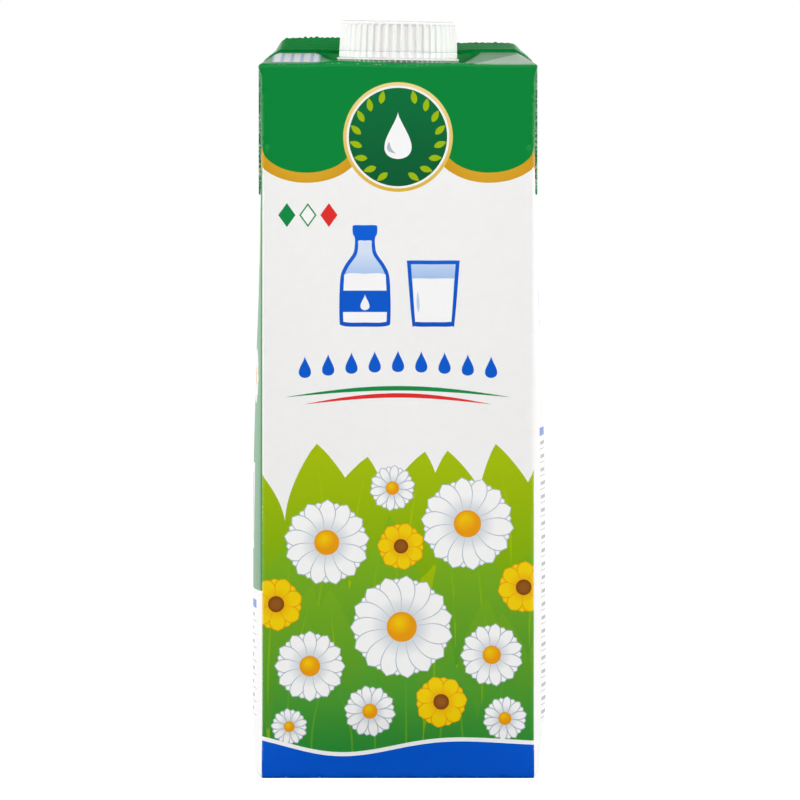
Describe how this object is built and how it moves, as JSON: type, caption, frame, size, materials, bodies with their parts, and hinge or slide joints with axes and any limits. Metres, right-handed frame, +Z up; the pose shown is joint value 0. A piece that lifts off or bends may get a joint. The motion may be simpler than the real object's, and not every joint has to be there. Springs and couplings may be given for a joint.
{
  "type": "milk carton",
  "caption": "Upright brick-shaped milk carton of coated board with folded ears, a folded top seam and a ribbed screw cap.",
  "frame": {"origin": "centre of the base, on the surface that the carton stands on", "axes": "+Z up along the carton's height, -Y out of the front panel, +X to the right as the front panel is seen"},
  "size_m": [0.079, 0.0738, 0.2021],
  "materials": {
    "coated_board": "satin, printed and coated",
    "white_polyethylene": "satin, moulded"
  },
  "bodies": {
    "root": {"carton": "coated_board", "screw_cap": "white_polyethylene", "tamper_band": "white_polyethylene", "spout_flange": "white_polyethylene"}
  },
  "joints": []
}
